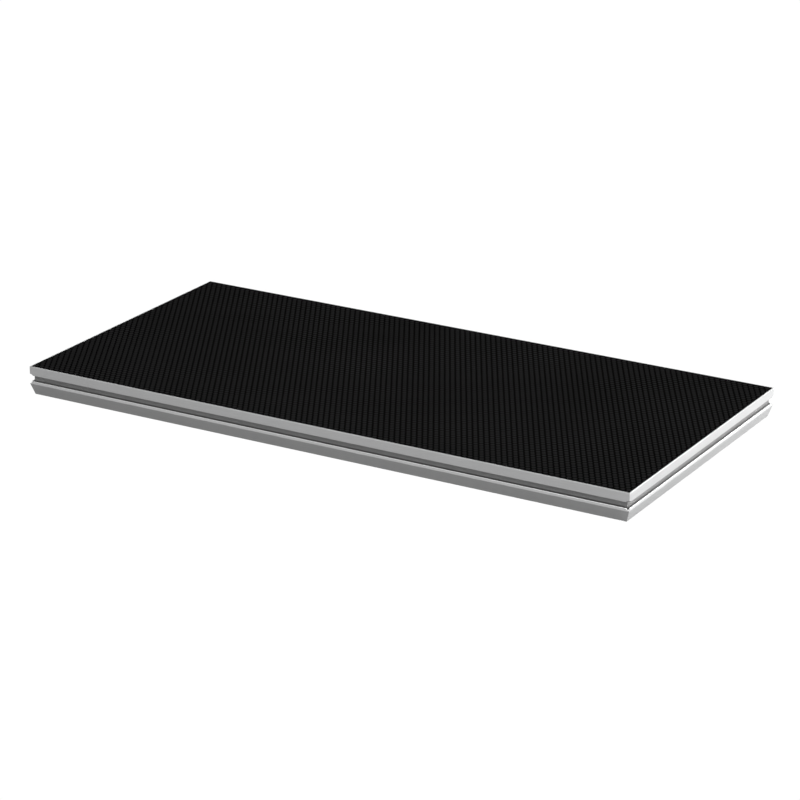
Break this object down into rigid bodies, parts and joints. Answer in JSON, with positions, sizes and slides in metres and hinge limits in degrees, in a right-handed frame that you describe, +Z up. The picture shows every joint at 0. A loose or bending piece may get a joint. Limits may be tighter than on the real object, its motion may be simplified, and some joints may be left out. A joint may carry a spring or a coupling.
{
  "type": "stage deck",
  "caption": "Modular stage deck with a black hexagon-textured anti-slip panel in a slotted aluminium edge frame, with clamped leg sockets under the corners.",
  "frame": {"origin": "middle of the underside of the frame", "axes": "+X along the deck's long side, +Y across it from front to rear, +Z up"},
  "size_m": [2, 1, 0.09],
  "materials": {
    "rail": "extruded mill finish",
    "member": "extruded mill finish",
    "cleat": "sawn extrusion",
    "weld": "rippled weld bead",
    "grip_film": "phenolic film, raised anti-slip pattern",
    "plywood": "birch plywood, dark glue lines",
    "backing_film": "smooth phenolic film",
    "elastic": "matt elastomer",
    "casting": "sand-cast, tumbled",
    "fastener": "bright zinc plated",
    "turned_steel": "turned, bright zinc plated",
    "spring_steel": "phosphated spring steel",
    "clamp_pad": "turned",
    "knob": "moulded, fine grain"
  },
  "bodies": {
    "root": {"rail_front": "rail", "rail_rear": "rail", "rail_left": "rail", "rail_right": "rail", "cross_member_left": "member", "cross_member_centre": "member", "cross_member_right": "member", "corner_cleat_front_left": "cleat", "corner_cleat_front_right": "cleat", "corner_cleat_rear_right": "cleat", "corner_cleat_rear_left": "cleat", "frame_welds": "weld", "grip_film": "grip_film", "deck_board": "plywood", "backing_film": "backing_film", "support_strip_left": "elastic", "support_strip_centre": "elastic", "support_strip_right": "elastic", "bedding_tape": "elastic", "edge_seal": "elastic", "leg_receiver_front_left": "casting", "leg_receiver_front_right": "casting", "leg_receiver_rear_right": "casting", "leg_receiver_rear_left": "casting", "deck_screws": "fastener", "receiver_screws": "fastener", "rivet_nuts": "fastener", "thread_inserts": "turned_steel"},
    "clamp_pad_front_left": {"clamp_pad_front_left": "clamp_pad"},
    "clamp_screw_front_left": {"clamp_screw_front_left": "turned_steel", "clamp_clip_front_left": "spring_steel", "clamp_knob_front_left": "knob"},
    "clamp_pad_front_right": {"clamp_pad_front_right": "clamp_pad"},
    "clamp_screw_front_right": {"clamp_screw_front_right": "turned_steel", "clamp_clip_front_right": "spring_steel", "clamp_knob_front_right": "knob"},
    "clamp_pad_rear_right": {"clamp_pad_rear_right": "clamp_pad"},
    "clamp_screw_rear_right": {"clamp_screw_rear_right": "turned_steel", "clamp_clip_rear_right": "spring_steel", "clamp_knob_rear_right": "knob"},
    "clamp_pad_rear_left": {"clamp_pad_rear_left": "clamp_pad"},
    "clamp_screw_rear_left": {"clamp_screw_rear_left": "turned_steel", "clamp_clip_rear_left": "spring_steel", "clamp_knob_rear_left": "knob"}
  },
  "joints": [
    {"name": "clamp_travel_front_left", "type": "slide", "parent": "root", "child": "clamp_pad_front_left", "axis": [-0.7071, -0.7071, 0], "range_m": [0, 0.007]},
    {"name": "clamp_turn_front_left", "type": "hinge", "parent": "clamp_pad_front_left", "child": "clamp_screw_front_left", "pos_m": [-0.935, -0.435, 0.045], "axis": [-0.7071, -0.7071, 0], "range_deg": [0, 1440]},
    {"name": "clamp_travel_front_right", "type": "slide", "parent": "root", "child": "clamp_pad_front_right", "axis": [0.7071, -0.7071, 0], "range_m": [0, 0.007]},
    {"name": "clamp_turn_front_right", "type": "hinge", "parent": "clamp_pad_front_right", "child": "clamp_screw_front_right", "pos_m": [0.935, -0.435, 0.045], "axis": [0.7071, -0.7071, 0], "range_deg": [0, 1440]},
    {"name": "clamp_travel_rear_right", "type": "slide", "parent": "root", "child": "clamp_pad_rear_right", "axis": [0.7071, 0.7071, 0], "range_m": [0, 0.007]},
    {"name": "clamp_turn_rear_right", "type": "hinge", "parent": "clamp_pad_rear_right", "child": "clamp_screw_rear_right", "pos_m": [0.935, 0.435, 0.045], "axis": [0.7071, 0.7071, 0], "range_deg": [0, 1440]},
    {"name": "clamp_travel_rear_left", "type": "slide", "parent": "root", "child": "clamp_pad_rear_left", "axis": [-0.7071, 0.7071, 0], "range_m": [0, 0.007]},
    {"name": "clamp_turn_rear_left", "type": "hinge", "parent": "clamp_pad_rear_left", "child": "clamp_screw_rear_left", "pos_m": [-0.935, 0.435, 0.045], "axis": [-0.7071, 0.7071, 0], "range_deg": [0, 1440]}
  ],
  "couplings": [
    {"joint": "clamp_turn_front_left", "follows": "clamp_travel_front_left", "rad_per_m": 3590.4},
    {"joint": "clamp_turn_front_right", "follows": "clamp_travel_front_right", "rad_per_m": 3590.4},
    {"joint": "clamp_turn_rear_right", "follows": "clamp_travel_rear_right", "rad_per_m": 3590.4},
    {"joint": "clamp_turn_rear_left", "follows": "clamp_travel_rear_left", "rad_per_m": 3590.4}
  ]
}
